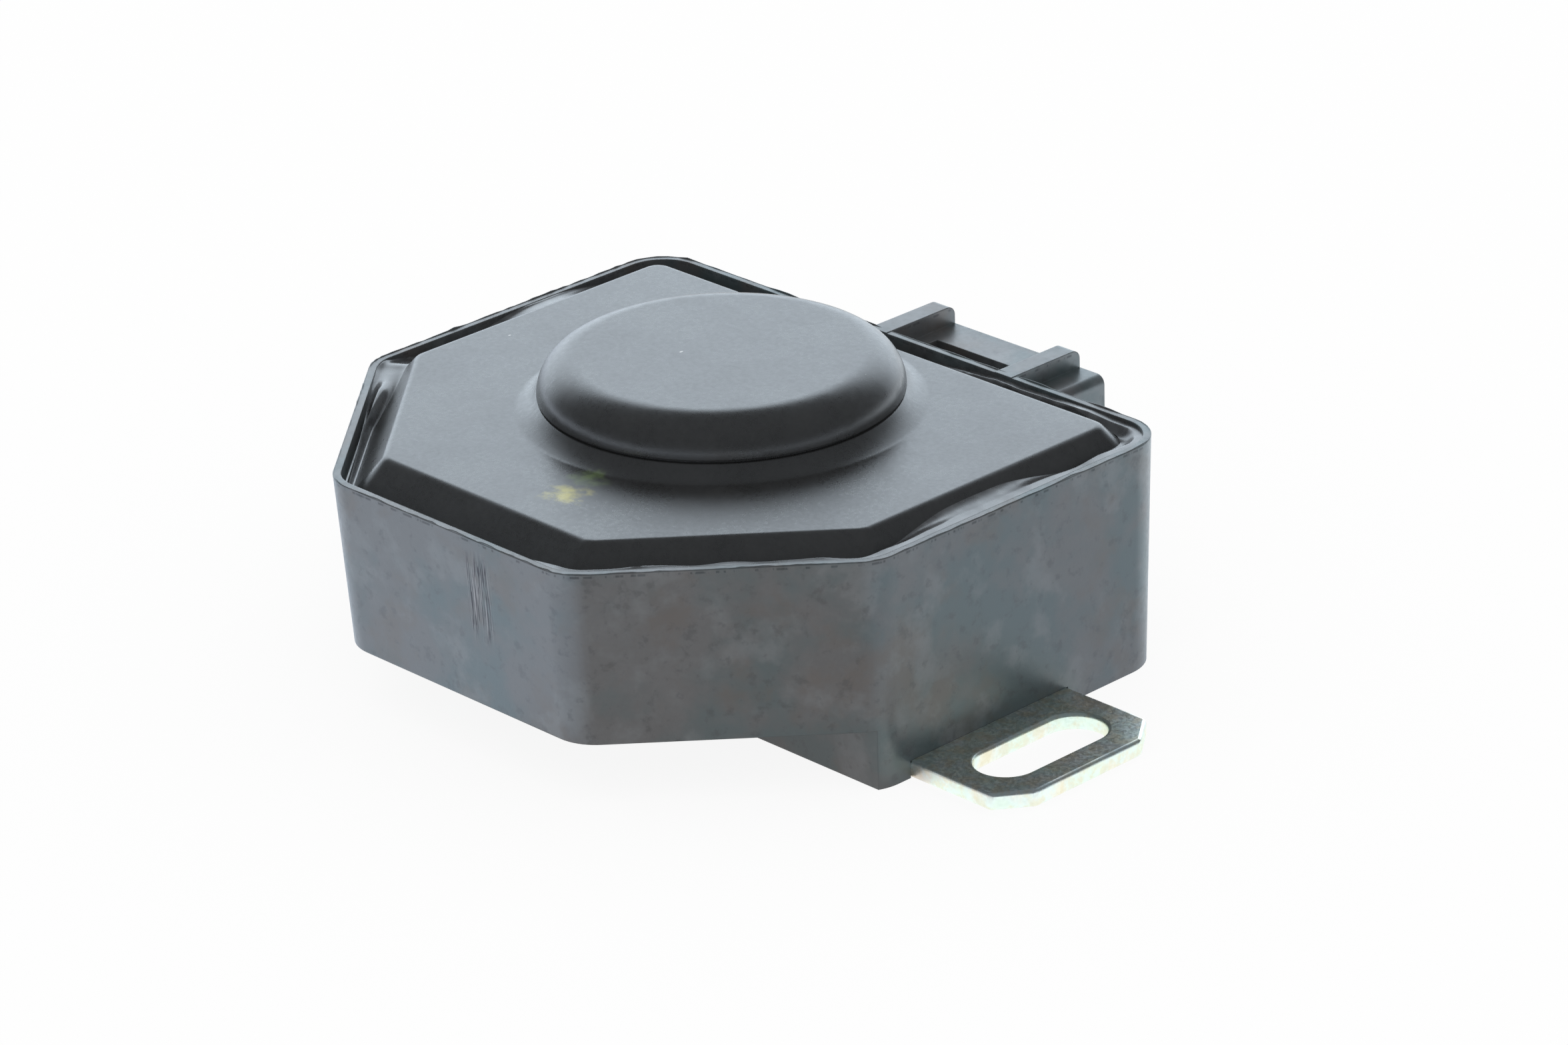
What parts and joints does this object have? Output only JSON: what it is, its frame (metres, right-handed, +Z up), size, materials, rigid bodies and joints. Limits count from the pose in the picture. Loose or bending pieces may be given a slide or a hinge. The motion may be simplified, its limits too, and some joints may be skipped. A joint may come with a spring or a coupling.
{
  "type": "throttle potentiometer",
  "caption": "Sealed rotary potentiometer for a throttle shaft: six-sided moulded housing, domed lid, side connector and slotted metal ears.",
  "frame": {"origin": "on the shaft axis, in the plane of the mounting face", "axes": "+Z up the shaft towards the lid, +Y towards the connector, the ears along X"},
  "size_m": [0.0814, 0.0595, 0.0253],
  "materials": {
    "housing_plastic": "dark grey-black glass-filled moulding, slightly satin",
    "cover_plastic": "dark grey-black moulding, smooth satin",
    "compound": "glossy black poured resin",
    "plated_steel": "zinc plated, faint yellow passivation",
    "bronze": "sintered bronze",
    "pale_plastic": "natural engineering plastic",
    "seal_rubber": "matt black",
    "spring_steel": "bright spring steel",
    "contact_metal": "contact alloy",
    "board": "pale laminate",
    "carbon_ink": "printed carbon",
    "silver_ink": "printed silver and solder",
    "screw_steel": "zinc plated",
    "tinned_brass": "tinned brass"
  },
  "bodies": {
    "housing": {"housing": "housing_plastic", "cover": "cover_plastic", "sealing_compound": "compound", "mounting_plate": "plated_steel", "shaft_bush": "bronze", "thrust_washer": "pale_plastic", "shaft_seal": "seal_rubber", "seal_spring": "spring_steel", "resistor_board": "board", "resistance_track": "carbon_ink", "collector_track": "silver_ink", "board_screws": "screw_steel", "solder_joints": "silver_ink", "terminal_1": "tinned_brass", "terminal_2": "tinned_brass", "terminal_3": "tinned_brass"},
    "rotor": {"rotor": "pale_plastic", "shaft_clip": "spring_steel", "wiper_bridge": "contact_metal", "wiper_rivets": "contact_metal", "return_spring": "spring_steel", "disc_spring": "spring_steel"}
  },
  "joints": [
    {"name": "rotor_turn", "type": "hinge", "parent": "housing", "child": "rotor", "pos_m": [0, 0, 0.0034], "axis": [0, 0, 1], "range_deg": [0, 95], "stiffness_Nm_per_rad": 0.006, "springref_deg": -57.3, "deforming": ["return_spring"]}
  ]
}
